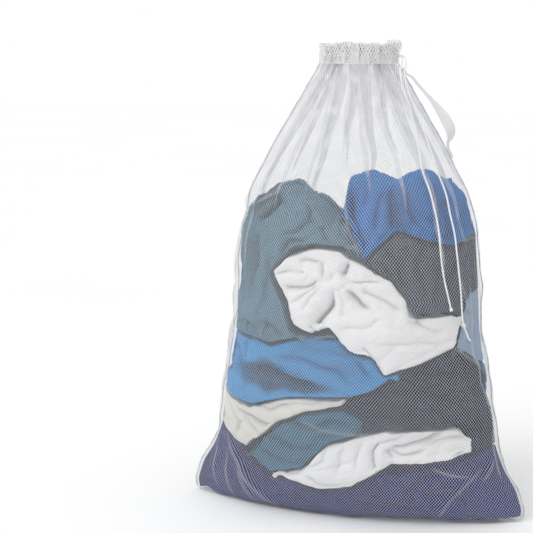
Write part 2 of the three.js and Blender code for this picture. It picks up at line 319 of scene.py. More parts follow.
def braid_tube(name, line, diameter, sides):
    """A cord with the diagonal strands of a round braid standing proud, and rounded ends."""
    first, second = frames_along(line)
    travel = travelled(line)
    angles = 2 * np.pi * np.arange(sides) / sides
    points, uvs = [], []
    for k, centre in enumerate(line):
        turn = 2 * np.pi * travel[k] / (diameter * BRAID_PITCH)
        left = np.abs(np.cos((STRANDS * angles + turn) / 2))
        right = np.abs(np.cos((STRANDS * angles - turn) / 2))
        relief = np.maximum(left, right) ** 2
        near_end = min(travel[k], travel[-1] - travel[k])
        cap = CORD_END + (1 - CORD_END) * min(1.0, near_end / (diameter / 2)) ** 0.5
        radius = diameter / 2 * cap * (BRAID_VALLEY + BRAID_RELIEF * relief)
        ring = np.cos(angles)[:, None] * first[k] + np.sin(angles)[:, None] * second[k]
        points.extend(centre + ring * radius[:, None])
        uvs.extend((j / sides, travel[k] / travel[-1]) for j in range(sides))
    return mesh_object(name, points, tube_faces(len(line), sides), uvs)


KNOT_STEPS, KNOT_TURNS = 90, 2
KNOT_LOBES = 1.5  # to each turn
KNOT_RADIUS, KNOT_SWAY = 0.62, 0.18  # shares of the knot's size
KNOT_CORD, KNOT_SIDES = 0.95, 12  # the tightened cord's share of its diameter, and its facets


def knot_piece(name, centre, size, tails_along):
    """An overhand knot: one short turn of cord wound tightly round itself."""
    along = Vector(tails_along).normalized()
    across = along.cross(Vector((0, -1, 0.2))).normalized()
    out = along.cross(across)
    line = []
    for step in range(KNOT_STEPS):
        angle = 2 * math.pi * step / KNOT_STEPS * KNOT_TURNS
        ring = size * (KNOT_RADIUS + KNOT_SWAY * math.cos(KNOT_LOBES * angle))
        lift = size * KNOT_RADIUS * math.sin(KNOT_LOBES * angle)
        place = Vector(centre) + across * ring * math.cos(angle) + out * ring * math.sin(angle)
        line.append(place + along * lift)
    return braid_tube(name, np.array(line), CORD_DIAMETER * KNOT_CORD, KNOT_SIDES)


def fibre_material(name, sizes, share, dark, white, tops, roughness, sheen):
    """Thread or cord: fine fibres over broader patches, from dark to white at the ramp's tops."""
    shader = Shader(name)
    where = shader.coordinates()
    fibre = shader.noise(where, sizes[0], 3)
    patches = shader.noise(where, sizes[1], 2)
    colour = shader.ramp(shader.blend(fibre, share, patches), (tops[0], dark), (tops[1], white))
    return shader.finish(colour, roughness, shader.bump(fibre, 0.0003, 0.6), sheen)


CORD_MATERIAL = fibre_material(
    "white_braid", (2600, 60), 0.35, (0.78, 0.78, 0.79), (0.93, 0.93, 0.93), (0.3, 0.6), 0.8, 0.3
)
CORD_SIDES = 14
SPAN_STEPS = 12  # of a smoothed line between two of its places


def add_tail(name, route, nodes):
    line, length = evenly(catmull_rom(route, SPAN_STEPS) * MM, CORD_STEP)
    tail = braid_tube(name, line, CORD_DIAMETER, CORD_SIDES)
    finish_piece(tail, CORD_MATERIAL, "cord", *nodes)


def add_knot(name, centre, size, node, along):
    knot = knot_piece(name, np.array(centre) * MM, size * MM, along)
    finish_piece(knot, CORD_MATERIAL, "cord", node)
    return knot


short_knot = add_knot(
    "short_tail_end_knot", (183.6, -85.5, 385), 2.4, "short_tail_knot", (0.2, 0.1, -1)
)
long_knot = add_knot(
    "long_tail_overhand_knot", (202, -68, 356), 3.6, "long_tail_knot", (0.3, 0.3, -1)
)
add_tail("short_cord_tail", SHORT_TAIL, ["drawstring_short_tail"])
add_tail(
    "long_cord_tail", LONG_TAIL, ["drawstring_long_tail", "drawstring_tag_end"]
)

# ---- the shape of the sack

NET_TOP = 788.0
HEM_TOP = 813.0
SEAM_GAP = 1.2  # from the middle plane to each panel's edge
FLAT_HALF_WIDTH = 305.0
FLAT_WIDTH = 2 * FLAT_HALF_WIDTH
FLOOR_EDGE = 2  # the ring at the edge of the base
RING_ROUNDING = 41  # samples, of 1200 up the cloth, that the rings are averaged over
# height, half width, half depth, and how sharply the panels meet, as in the CAD model, after the
# two rings that lie on the floor between the bottom seam and the edge of the base
RINGS = np.array([
    (0.6, 292, 3, 1.7), (0.6, 296, 40, 1.7),
    (0.6, 300, 75, 1.7), (20, 304, 90, 1.65), (57, 292, 103, 1.5), (90, 271, 113, 1.35),
    (128, 256, 120, 1.2), (218, 243, 131, 1), (336, 221, 142, 1), (416, 218, 140, 1),
    (501, 211, 130, 1), (572, 191, 112, 1), (653, 149, 80, 1), (757, 86, 44, 1),
    (NET_TOP, 68, 35, 1), (HEM_TOP, 69, 36, 1),
])
CLOTH_AT_RING = travelled(RINGS[:, [0, 2]])
CLOTH_TO_HEM = CLOTH_AT_RING[-2]  # length of cloth from the bottom seam to the casing
CLOTH_TO_TOP = CLOTH_AT_RING[-1]


def rings_along(cloth):
    """Rounded rings at lengths of cloth up from the bottom seam."""
    fine = np.linspace(0, CLOTH_TO_TOP, 1200)
    window = np.hanning(RING_ROUNDING)
    window /= window.sum()
    reach = RING_ROUNDING // 2
    found = []
    for column in RINGS.T:
        values = np.interp(fine, CLOTH_AT_RING, column)
        before = 2 * values[0] - values[1:reach + 1][::-1]
        after = 2 * values[-1] - values[-reach - 1:-1][::-1]
        rounded = np.convolve(np.r_[before, values, after], window, "valid")
        found.append(np.interp(cloth, fine, rounded))
    height, half_width, half_depth, sharpness = found
    return np.maximum(height, 0.6), half_width, np.maximum(half_depth, 2.0), sharpness


def smooth_step(x):
    t = np.clip(x + 0.5, 0, 1)
    return t * t * (3 - 2 * t) - 0.5


def fold_step(x):
    """From -0.5 to 0.5 over one unit, straight but for its two rounded ends."""
    return 0.35 * smooth_step(x) + 0.65 * np.clip(x, -0.5, 0.5)


def cloth_noise(u, v, scale, seed):
    """Smooth noise over cloth coordinates in millimetres, as an array."""
    u, v = np.broadcast_arrays(u, v)
    flat = [
        lump(a / scale, b / scale, seed * 7.31)
        for a, b in zip(np.ravel(u), np.ravel(v))
    ]
    return np.array(flat).reshape(np.shape(u))


# Each pleat of a panel: where it is on the flat cloth, its share of the gathered width, the cloth
# length at which it has faded out downwards, and which way it is folded.
FRONT_PLEATS = [
    (-262, 1.0, 540, 1), (-206, 1.3, 470, 1), (-140, 1.4, 560, 1), (-72, 1.2, 600, -1),
    (-6, 0.9, 650, 1), (52, 1.3, 600, -1), (118, 1.2, 560, 1), (182, 1.5, 480, -1),
    (246, 1.2, 520, 1),
]
BACK_PLEATS = [
    (-250, 1.2, 520, -1), (-190, 1.0, 600, 1), (-128, 1.4, 540, 1), (-60, 1.0, 620, -1),
    (4, 1.3, 580, 1), (70, 0.9, 640, -1), (132, 1.3, 560, 1), (196, 1.2, 530, -1),
    (256, 1.0, 570, 1),
]
# Loose cloth beside the seams lower down: place, width taken up, and the cloth lengths between.
SIDE_TUCKS = [
    (-281, 22, 170, 460, 1), (-246, 12, 220, 400, -1), (279, 24, 130, 400, -1),
    (246, 14, 250, 560, 1), (272, 16, 380, 600, -1), (-268, 15, 400, 620, 1),
]
# Folds where the cloth is pulled over the load: the line between two places on the cloth, how far
# the gentle side slopes (on the left of a line that runs upwards), and the height.
FRONT_RIDGES = [
    ((-112, 80), (-236, 214), 20, 6.3), ((-200, 84), (-226, 186), 14, 5.6),
    ((-240, 100), (-262, 196), 12, 4.2), ((-150, 84), (-196, 150), 14, 3.5),
    ((158, 92), (238, 184), 22, 5.6), ((212, 172), (150, 190), 14, 3.5),
    ((262, 196), (236, 160), 12, 4.2), ((-196, 632), (-276, 640), 14, 4.9),
    ((-84, 704), (-196, 632), 16, 4.9), ((38, 560), (-2, 678), 16, 4.2),
    ((-272, 490), (-286, 570), 12, 3.5), ((-256, 410), (-272, 480), 12, 3.5),
    ((196, 404), (60, 406), 16, 5.2), ((276, 352), (196, 404), 16, 5.2),
    ((232, 452), (214, 530), 12, 3.8), ((216, 404), (232, 462), 12, 4.2),
    ((-262, 320), (-290, 420), 14, 4.2), ((-236, 270), (-262, 330), 14, 3.5),
    ((272, 250), (252, 330), 14, 3.8), ((60, 250), (-60, 262), 14, 2.4),
]
BACK_RIDGES = [
    ((-150, 84), (-238, 200), 20, 5.9), ((150, 84), (236, 192), 20, 5.9),
    ((80, 276), (-70, 300), 18, 3.5), ((-60, 430), (-190, 470), 18, 3.5),
    ((190, 468), (40, 530), 18, 3.8), ((262, 300), (200, 366), 14, 3.5),
    ((-190, 330), (-262, 384), 14, 3.5), ((-40, 560), (-150, 640), 16, 3.8),
]
RIDGE_DROP = 7.5  # how wide a fold's steep side is
RIDGE_BOW = 0.06  # how far its line bends, as a share of its length
RIDGE_FADE, RIDGE_PAST_END = 0.25, 9  # a share of its length, and millimetres beyond it
GATHER, GATHER_REACH = 0.72, 6.5  # how closely, and from how far, cloth bunches along a fold
CREST_WIDTH = 3.0
GATHER_STARTS, GATHER_FULL = 430, 590  # heights up the cloth where the pleats take up width
PLEAT_RISE = 150  # the length over which one pleat opens
PLEAT_NARROWEST, PLEAT_BACK = 9.0, 46  # its zone on the cloth, and how far it takes to lie flat
PLEAT_DEPTH, PLEAT_DEEPEST = 0.12, 3.6
PLEAT_WANDER = 7
FLOOR_RISE = 2, 16  # heights between which the cloth comes free of the floor
EMPTY_STARTS, EMPTY_FULL = 600, 680  # the empty part hangs straight from the casing
DEEPEST_DIP = 2.2  # the net lies on the washing, so it can't go in further than this


def ridge_zones(u, v, ridges):
    """For each fold: distance from its line, strength there, the line's direction, and shape."""
    for (u0, v0), (u1, v1), slope, height in ridges:
        du, dv = u1 - u0, v1 - v0
        length = math.hypot(du, dv)
        share = np.clip(((u - u0) * du + (v - v0) * dv) / length**2, 0, 1)
        bow = RIDGE_BOW * length * np.sin(np.pi * share)
        side = ((u - u0) * dv - (v - v0) * du) / length + bow
        past_end = np.hypot(u - u0 - share * du, v - v0 - share * dv)
        past_end = np.where((share > 0) & (share < 1), 0, past_end)
        fade = np.clip(np.minimum(share, 1 - share) / RIDGE_FADE, 0, 1) ** 0.6
        strength = fade * np.exp(-((past_end / RIDGE_PAST_END) ** 2))
        yield side, strength, (du / length, dv / length), slope, height


def ridge_height(u, v, ridges):
    """Folds of pulled cloth: each rises slowly on one side of its line and drops on the other."""
    total = np.zeros(np.shape(u))
    for side, strength, _, slope, height in ridge_zones(u, v, ridges):
        steep = np.exp(-((np.maximum(side, 0) / RIDGE_DROP) ** 2))
        gentle = np.exp(-((np.maximum(-side, 0) / slope) ** 1.6))
        total += height * strength * steep * gentle
    return total


def ridge_pull(u, v, ridges):
    """How far the cloth moves across and up as it bunches along its folds."""
    across, up = np.zeros(np.shape(u)), np.zeros(np.shape(u))
    for side, strength, (du, dv), _, _ in ridge_zones(u, v, ridges):
        pull = GATHER * side * strength * np.exp(-((side / GATHER_REACH) ** 2))
        across -= pull * dv
        up += pull * du
    return across, up


def ridge_crest(u, v, ridges):
    """Where the cloth lies over itself along its folds, from 0 to 1."""
    crest = np.zeros(np.shape(u))
    for side, strength, _, _, _ in ridge_zones(u, v, ridges):
        crest = np.maximum(crest, strength * np.exp(-((side / CREST_WIDTH) ** 2)))
    return crest


def outline(angles, half_width, half_depth, sharpness):
    """Half a level cut through the sack, as across and out, at angles from the middle."""
    round_out = np.maximum(np.cos(angles), 0) ** sharpness
    return half_width * np.sin(angles), SEAM_GAP + (half_depth - SEAM_GAP) * round_out


def sack_surface(u, v, side, pleats, ridges, lift=0.0):
    """Points of one panel, in millimetres.

    u and v are arrays of the same shape: places on the flat cloth, across from the middle and up
    from the bottom seam. side is -1 for the front. The pleats fold the cloth back over itself, so
    that its width is kept while the sack narrows towards the mouth.
    """
    height, half_width, half_depth, sharpness = rings_along(v[:, 0])
    angles = np.linspace(-np.pi / 2, np.pi / 2, 181)
    points = np.zeros((*np.shape(u), 3))
    fold_depth = np.zeros(np.shape(u))
    for r in range(len(u)):
        a, b, n = half_width[r], half_depth[r], sharpness[r]
        arc = travelled(np.stack(outline(angles, a, b, n), 1))
        spare = max(0.0, 2 * FLAT_HALF_WIDTH - arc[-1])
        level = v[r, 0]
        spare *= float(rise(level, GATHER_STARTS, GATHER_FULL)) ** 1.2
        weights = [
            share * float(rise(level, low, low + PLEAT_RISE)) for _, share, low, _ in pleats
        ]
        total = max(sum(weights), 1e-6)
        taken = [
            (place, spare * w / total, turn) for (place, _, _, turn), w in zip(pleats, weights)
        ]
        for place, width, low, high, turn in SIDE_TUCKS:
            middle = (level - low) / (high - low)
            if 0 < middle < 1:
                taken.append((place, width * math.sin(math.pi * middle) ** 0.8, turn))
        moved = u[r].copy()
        for place, width, turn in taken:
            if width < 0.3:
                continue
            wander = PLEAT_WANDER * lump(place * 0.37, level / 90, 2.2)
            zone = max(PLEAT_NARROWEST, 0.6 * width)
            step = fold_step((u[r] - place - wander) / zone)
            moved -= width * step
            depth = min(PLEAT_DEEPEST, PLEAT_DEPTH * width)
            back_over = smooth_step((u[r] - place - wander) / (zone + PLEAT_BACK))
            fold_depth[r] -= turn * depth * (step - back_over)
        share = (moved - moved[0]) / (moved[-1] - moved[0])
        angle = np.interp(share * arc[-1], arc, angles)
        x, y = outline(angle, a, b, n)
        points[r] = np.stack([x, side * y, np.full(len(x), height[r])], 1)
    along = np.gradient(points, axis=1) / np.gradient(u, axis=1)[..., None]
    upward = np.gradient(points, axis=0) / np.gradient(v, axis=0)[..., None]
    pull_across, pull_up = ridge_pull(u, v, ridges)
    outward = surface_normals(points, side)
    points += along * pull_across[..., None] + upward * pull_up[..., None]
    off_floor = rise(points[..., 2], *FLOOR_RISE)
    off_seam = np.clip((FLAT_HALF_WIDTH - np.abs(u)) / 20, 0, 1)
    empty = rise(v, EMPTY_STARTS, EMPTY_FULL)
    low = cloth_noise(u, v, 75, 3 + side) * 3.0 + cloth_noise(u, v, 26, 5 + side) * 0.9
    high = cloth_noise(u, v / 5, 34, 8 + side) * 2.2
    slack = low * (1 - empty) + high * empty
    stand = fold_depth + ridge_height(u, v, ridges) + (slack + 1.0) * off_seam
    stand = np.maximum(stand, -DEEPEST_DIP) * off_floor + lift
    points += outward * stand[..., None]
    seam_wave = seam_wander(points[..., 2], np.sign(u)) * (np.abs(u) / FLAT_HALF_WIDTH) ** 6
    points[..., 0] += seam_wave * off_floor
    points[..., 2] = np.maximum(points[..., 2], 0.5)
    return points


def seam_wander(height, side):
    """How far the loose cloth at a side seam strays outwards at a height."""
    phase = 0.8 * side
    wave = np.sin(height / 21 + phase) * 1.6 + np.sin(height / 9.3 + 2 * phase) * 0.7
    body = rise(height, 20, 80) * rise(height, 640, 550)
    return side * body * (wave + 0.6)


def surface_normals(points, side):
    """Directions straight out of a panel; side is -1 for the front."""
    normal = np.cross(np.gradient(points, axis=1), np.gradient(points, axis=0))
    normal = normal / np.maximum(np.linalg.norm(normal, axis=2, keepdims=True), 1e-9)
    return normal * np.where(normal[..., 1:2] * side < 0, -1.0, 1.0)


# ---- the net

HOLE_ACROSS = 4.8  # the net's staggered holes repeat after this much cloth across
HOLE_UP = 6.4
THREAD_SHARPNESS = 6.0
THREAD_EDGE = 0.07  # half the width of a thread's soft edge
DOUBLED_COVER = 0.62  # how much more of the light doubled net stops


def net_material(name, cloth_up, openness, white):
    """White net: threads along two diagonals leave staggered, rounded holes between them."""
    shader = Shader(name)
    place = shader.split(shader.coordinates("UV"))
    u = shader.math("MULTIPLY", place[0], FLAT_WIDTH / HOLE_ACROSS)
    v = shader.math("MULTIPLY", place[1], cloth_up / HOLE_UP)
    threads = []
    for operation in ("ADD", "SUBTRACT"):
        diagonal = shader.math(operation, u, v)
        wave = shader.math("COSINE", shader.math("MULTIPLY", diagonal, 2 * math.pi))
        shade = shader.math("MULTIPLY_ADD", wave, 0.5, 0.5)
        threads.append(shader.math("POWER", shade, THREAD_SHARPNESS))
    net = shader.math("ADD", *threads)
    solid = shader.node("ShaderNodeMapRange", interpolation_type="SMOOTHSTEP")
    shader.feed(solid.inputs["Value"], net)
    doubled = shader.node("ShaderNodeAttribute", attribute_name="doubled").outputs["Fac"]
    for end, edge in (("From Min", -THREAD_EDGE), ("From Max", THREAD_EDGE)):
        level = shader.math("MULTIPLY_ADD", doubled, -DOUBLED_COVER, openness + edge)
        shader.feed(solid.inputs[end], level)
    where = shader.coordinates()
    fibre = shader.noise(where, 1500, 2)
    blend = shader.blend(fibre, 0.4, shader.noise(where, 14, 3))
    colour = shader.ramp(blend, (0.32, tint(white, 0.9)), (0.62, white))
    relief = shader.math("MULTIPLY_ADD", fibre, 0.25, net)
    material = shader.finish(colour, 0.55, shader.bump(relief, 0.0004, 0.5), sheen=0.25)
    shader.feed(shader.surface.inputs["Alpha"], solid.outputs["Result"])
    return material


NET_MATERIAL = net_material("white_net", CLOTH_TO_HEM, 0.90, (0.72, 0.72, 0.755))
HEM_MATERIAL = net_material(
    "white_net_folded", 2 * (CLOTH_TO_TOP - CLOTH_TO_HEM), 0.40, (0.95, 0.95, 0.96)
)

PANEL_COLUMNS, PANEL_ROWS = 261, 300


def add_panel(name, node, side, pleats, ridges):
    across = np.linspace(-1, 1, PANEL_COLUMNS) * FLAT_HALF_WIDTH
    up = np.linspace(0, CLOTH_TO_HEM, PANEL_ROWS)
    u, v = np.meshgrid(across, up)
    points = sack_surface(u, v, side, pleats, ridges) * MM
    uvs = np.stack([u / FLAT_WIDTH + 0.5, v / CLOTH_TO_HEM], 2).reshape(-1, 2)
    faces = panel_faces(PANEL_ROWS, PANEL_COLUMNS, side)
    panel = mesh_object(name, points.reshape(-1, 3), faces, uvs)
    add_layer(panel.data, "doubled", ridge_crest(u, v, ridges).ravel())
    finish_piece(panel, NET_MATERIAL, "net", node)


add_panel("front_net", "front_net_panel", -1, FRONT_PLEATS, FRONT_RIDGES)
add_panel("back_net", "back_net_panel", 1, BACK_PLEATS, BACK_RIDGES)


# ---- casing, seams and stitches

SLIT_END = 297.0  # where the casing stops on the flat cloth, short of the slit the cord leaves by
CASING_DEPTH = 6.6  # from the outer to the inner wall
CASING_ROWS = 13  # of points on each wall
CORD_HEIGHT, CORD_BULGE, CORD_BULGE_REACH = 800, 0.8, 2.6
MOUTH_RADII = (69, 36)
GATHER_DEPTH = 3.0


def add_casing(name, node, side, pleats):
    """A folded band of net: up the outer wall, over the ruffled top and down the inner one."""
    across = np.linspace(-FLAT_HALF_WIDTH + 0.4, SLIT_END, PANEL_COLUMNS)
    outer = np.linspace(CLOTH_TO_HEM - 1.0, CLOTH_TO_TOP, CASING_ROWS)
    inner = outer[::-1][:-1]
    walls = []
    for levels, lift, bulge in ((outer, 0.2, CORD_BULGE), (inner, -CASING_DEPTH, -CORD_BULGE)):
        u, v = np.meshgrid(across, levels)
        wall = sack_surface(u, v, side, pleats, [], lift)
        up = rise(levels, CLOTH_TO_HEM, CLOTH_TO_TOP)[:, None]
        frill = cloth_noise(across, 20 * up, 11, 11 + side)
        coarse = cloth_noise(across, 15 * up, 42, 17 + side)
        ring = np.linalg.norm(wall[..., :2] / MOUTH_RADII, axis=2)[..., None]
        radial = wall[..., :2] / ring / MOUTH_RADII
        radial /= np.maximum(np.linalg.norm(radial, axis=2, keepdims=True), 1e-6)
        gathers = cloth_noise(across, 8 * up, 6.5, 23 + side) * GATHER_DEPTH * (0.45 + 0.55 * up)
        wall[..., :2] += radial * ((frill * 4.0 + coarse * 5.0) * up + gathers)[..., None]
        wall[..., 2] += (frill * 4.5 + coarse * 10 + 4.0) * up ** 1.5
        near_cord = np.exp(-(((wall[..., 2] - CORD_HEIGHT) / CORD_BULGE_REACH) ** 2)) * bulge
        wall[..., :2] += radial * near_cord[..., None]
        walls.append(wall)
    top = (walls[0][-1] + walls[1][0]) / 2
    top[:, 2] += 1.1
    points = np.vstack([walls[0], top[None], walls[1]])
    u, v = np.meshgrid(np.linspace(0, 1, PANEL_COLUMNS), np.linspace(0, 1, len(points)))
    faces = panel_faces(len(points), PANEL_COLUMNS, side)
    uvs = np.stack([u, v], 2).reshape(-1, 2)
    casing = mesh_object(name, points.reshape(-1, 3) * MM, faces, uvs)
    finish_piece(casing, HEM_MATERIAL, "seam", node)


add_casing("front_casing", "front_drawstring_casing", -1, FRONT_PLEATS)
add_casing("back_casing", "back_drawstring_casing", 1, BACK_PLEATS)


def thread_material(name, white):
    sizes = (1800, 120)
    return fibre_material(name, sizes, 0.5, tint(white, 0.86), white, (0.3, 0.65), 0.75, 0.2)


SEAM_MATERIAL = thread_material("overlock_thread", (0.60, 0.62, 0.67))
STITCH_MATERIAL = thread_material("bartack_thread", (0.9, 0.9, 0.9))
SEAM_STEP, SEAM_SIDES = 1.1, 12
STITCH_PITCH, STITCH_RELIEF = 3.4, 0.14


def seam_band(name, node, line, outward, half_thickness, reach=1.0):
    """The overlocked allowance along a seam: a flat roll of net bound by close stitches."""
    line, _ = evenly(line, SEAM_STEP)
    angles = 2 * np.pi * np.arange(SEAM_SIDES) / SEAM_SIDES
    points, uvs = [], []
    last = len(line) - 1
    for k, (centre, tangent) in enumerate(zip(line, tangents_along(line))):
        out = np.array(outward, float)
        out -= tangent * out.dot(tangent)
        out /= np.linalg.norm(out)
        across = np.cross(tangent, out)
        travel = k * SEAM_STEP
        stitch = 1 - STITCH_RELIEF + STITCH_RELIEF * math.cos(2 * math.pi * travel / STITCH_PITCH)
        flutter = 0.35 * math.sin(travel / 7.3) + 0.25 * math.sin(travel / 2.9)
        end = min(1.0, (min(k, last - k) + 0.6) / 4)
        for angle in angles:
            lean = np.cos(angle) * reach * end + flutter * (1 + np.cos(angle)) / 2
            rise = np.sin(angle) * half_thickness * stitch * end
            points.append(centre + out * (reach * 0.55 + lean) + across * rise)
            uvs.append((angle / (2 * np.pi), k / last))
    faces = tube_faces(len(line), SEAM_SIDES)
    finish_piece(mesh_object(name, np.array(points) * MM, faces, uvs), SEAM_MATERIAL, "seam", node)


def side_seam_line(side):
    cloth = np.linspace(CLOTH_AT_RING[FLOOR_EDGE] + 3, CLOTH_TO_HEM - 1, 300)
    height, half_width, _, _ = rings_along(cloth)
    off_floor = rise(height, *FLOOR_RISE)
    x = side * half_width + seam_wander(height, side) * off_floor
    return np.stack([x, np.zeros_like(x), np.maximum(height, 1.9)], 1)


for side, word in ((-1, "left"), (1, "right")):
    seam_band(
        f"{word}_overlocked_seam", f"{word}_side_seam", side_seam_line(side), (side, 0, 0.15), 0.9
    )
floor_seam = np.stack([np.linspace(-290, 290, 60), np.zeros(60), np.full(60, 1.5)], 1)
seam_band("bottom_overlocked_seam", "bottom_seam", floor_seam, (0, 0.2, 1), 1.4)

CORD_RING = (65, 32)
CORD_EXIT = 66.2, 1.9  # where the ring's ends turn towards the slit
CORD_GAP = 0.28  # the angle on each side of the slit that the ring leaves open


def cord_in_casing():
    turns = np.linspace(CORD_GAP, 2 * math.pi - CORD_GAP, 120)
    ring = np.stack([CORD_RING[0] * np.cos(turns), CORD_RING[1] * np.sin(turns)], 1)
    (x, y) = CORD_EXIT
    line = np.vstack([(x, y), ring, (x, -y)])
    line = np.c_[line, np.full(len(line), float(CORD_HEIGHT))]
    line, _ = evenly(catmull_rom(line, 3) * MM, CORD_STEP)
    run = braid_tube("cord_in_casing", line, CORD_DIAMETER, CORD_SIDES)
    finish_piece(run, CORD_MATERIAL, "cord", "drawstring_in_casing")


cord_in_casing()

# ---- strap

STRAP_TOP = np.array([85.5, 0, 768.0])
STRAP_BOTTOM = np.array([155.5, 0, 650.0])
STRAP_SPAN = np.linalg.norm(STRAP_BOTTOM - STRAP_TOP)
STRAP_AXIS = (STRAP_BOTTOM - STRAP_TOP) / STRAP_SPAN
STRAP_OUT = np.array([-STRAP_AXIS[2], 0, STRAP_AXIS[0]])
STRAP_WIDTH = 19.0
STRAP_THICKNESS = 1.4
STRAP_TWIST = 0.95
STRAP_LINE = [
    (0.03, 4), (0.15, 7), (0.36, 13), (0.52, 17), (0.68, 19.5), (0.84, 18), (0.93, 11), (0.965, 4),
]  # shares of the way between the strap's ends, and how far out of their line
SEAM_REACH = 2.5  # of the seam allowance, out of the panels' edge
TAB_GAP = 0.5  # between the seam and a sewn end
UPPER_TAB, LOWER_TAB = (780.5, 776, 771), (643, 637, 630.5)  # heights along the sewn ends
STRAP_STEP, STRAP_COLUMNS = 1.2, 11
LOOP_START, LOOP_LESS = 12, 34  # how far along the strap the loop starts, and what isn't loop
SELVEDGE, SELVEDGE_THINNING = 0.2, 0.35
STRAP_CUP, RIB, RIB_PITCH = 0.9, 0.07, 2.4


def seam_edge(height, lift):
    """A point that far outside the right side seam's edge."""
    half_width = np.interp(height, RINGS[FLOOR_EDGE:, 0], RINGS[FLOOR_EDGE:, 1])
    return np.array([half_width + SEAM_REACH + lift, 0, height])


def webbing_material():
    shader = Shader("white_webbing")
    where = shader.coordinates("UV")
    ribs = shader.wave(where, "Y", 22, distortion=1.2)
    weave = shader.math("MULTIPLY", ribs, shader.wave(where, "X", 4))
    blend = shader.blend(weave, 0.5, shader.noise(shader.coordinates(), 900, 3))
    colour = shader.ramp(blend, (0.2, (0.74, 0.74, 0.76)), (0.6, (0.9, 0.9, 0.91)))
    return shader.finish(colour, 0.7, shader.bump(blend, 0.0004, 0.7), sheen=0.2)


def add_strap():
    along, out = np.array(STRAP_LINE).T
    loop = STRAP_TOP + np.outer(along * STRAP_SPAN, STRAP_AXIS) + np.outer(out, STRAP_OUT)
    tab = STRAP_THICKNESS / 2 + TAB_GAP
    upper, lower = ([seam_edge(z, tab) for z in heights] for heights in (UPPER_TAB, LOWER_TAB))
    line, length = evenly(catmull_rom(np.vstack([upper, loop, lower]), 14), STRAP_STEP)
    travel = np.linspace(0, 1, len(line))
    loop_share = rise(travel * length, LOOP_START, length + LOOP_START - LOOP_LESS)
    across_face = [-1 + 2 * j / (STRAP_COLUMNS - 1) for j in range(STRAP_COLUMNS)]
    # over the outer face and back along the inner one
    section = [(place, 1) for place in across_face] + [(-place, -1) for place in across_face]
    points, uvs = [], []
    for k, (centre, tangent) in enumerate(zip(line, tangents_along(line))):
        turn = STRAP_TWIST * math.sin(math.pi * loop_share[k] ** 2.3) ** 2
        across = Vector((0, 1, 0))
        across -= Vector(tangent) * across.dot(Vector(tangent))
        across.normalize()
        across.rotate(Quaternion(Vector(tangent), turn))
        face = np.cross(tangent, across)
        across = np.array(across)
        rib = RIB * math.cos(2 * math.pi * k * STRAP_STEP / RIB_PITCH)
        for j, (place, side) in enumerate(section):
            cup = STRAP_CUP * (place * place - 0.4) * math.sin(math.pi * travel[k])
            past_selvedge = max(0.0, abs(place) - (1 - SELVEDGE)) / SELVEDGE
            half = STRAP_THICKNESS / 2 * (1 - SELVEDGE_THINNING * past_selvedge) + rib
            points.append(centre + across * place * STRAP_WIDTH / 2 + face * (side * half + cup))
            uvs.append((j / (len(section) - 1), travel[k]))
    faces = tube_faces(len(line), len(section))
    strap = mesh_object("carry_strap", np.array(points) * MM, faces, uvs)
    strap.data.materials.append(webbing_material())
    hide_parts("strap_loop", "strap_upper_tab", "strap_lower_tab")
    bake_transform(strap)


add_strap()


TACK_TURNS, TACK_HALF_WIDTH, TACK_FILL = 26, 7.4, 0.92
TACK_LIFT = 0.45  # of the thread's middle off the webbing
THREAD_DIAMETER, THREAD_STEP, THREAD_SIDES = 0.0008, 0.0006, 8


def add_bartack(name, node, low, high):
    """A block of close zigzag stitches over the strap's sewn end."""
    line = []
    for k in range(TACK_TURNS + 1):
        height = low + (high - low) * (0.5 + 0.5 * (-1) ** k * TACK_FILL)
        base = seam_edge(height, STRAP_THICKNESS + TAB_GAP + TACK_LIFT)
        line.append(base + np.array([0, TACK_HALF_WIDTH * (2 * k / TACK_TURNS - 1), 0]))
    line, _ = evenly(np.array(line) * MM, THREAD_STEP)
    tack = braid_tube(name, line, THREAD_DIAMETER, THREAD_SIDES)
    finish_piece(tack, STITCH_MATERIAL, "stitch", node)


add_bartack("upper_bartack_stitches", "upper_bartack", 773, 777)
add_bartack("lower_bartack_stitches", "lower_bartack", 635, 639)

# ---- the washing

# Fabrics: colour, how far it varies (the cloth's uneven tone together with painted highlights and
# shade), the weave's pattern and size in metres.
FABRICS = {
    "white_cotton": ((0.96, 0.96, 0.96), 0.05, "terry", 0.0016),
    "cream_cotton": ((0.80, 0.79, 0.74), 0.06, "terry", 0.0022),
    "teal_cotton": ((0.11, 0.225, 0.30), 0.22, "knit", 0.0016),
    "deep_teal_cotton": ((0.03, 0.155, 0.26), 0.22, "knit", 0.0016),
    "blue_cotton": ((0.010, 0.175, 0.48), 0.34, "knit", 0.0015),
    "sky_cotton": ((0.045, 0.29, 0.60), 0.32, "knit", 0.0015),
    "pale_blue_cotton": ((0.30, 0.44, 0.60), 0.12, "knit", 0.0015),
    "grey_trousers": ((0.064, 0.082, 0.118), 0.18, "twill", 0.0012),
    "charcoal_cotton": ((0.018, 0.034, 0.070), 0.25, "knit", 0.0022),
    "navy_denim": ((0.006, 0.025, 0.165), 0.30, "twill", 0.0015),
    "grey_fleece": ((0.20, 0.21, 0.24), 0.12, "terry", 0.0024),
}


TWILL_TURN = (0.2, 0.5, 0.3)
PALE = 0.5  # from this brightness up, a fabric has a sheen and lighter shadows


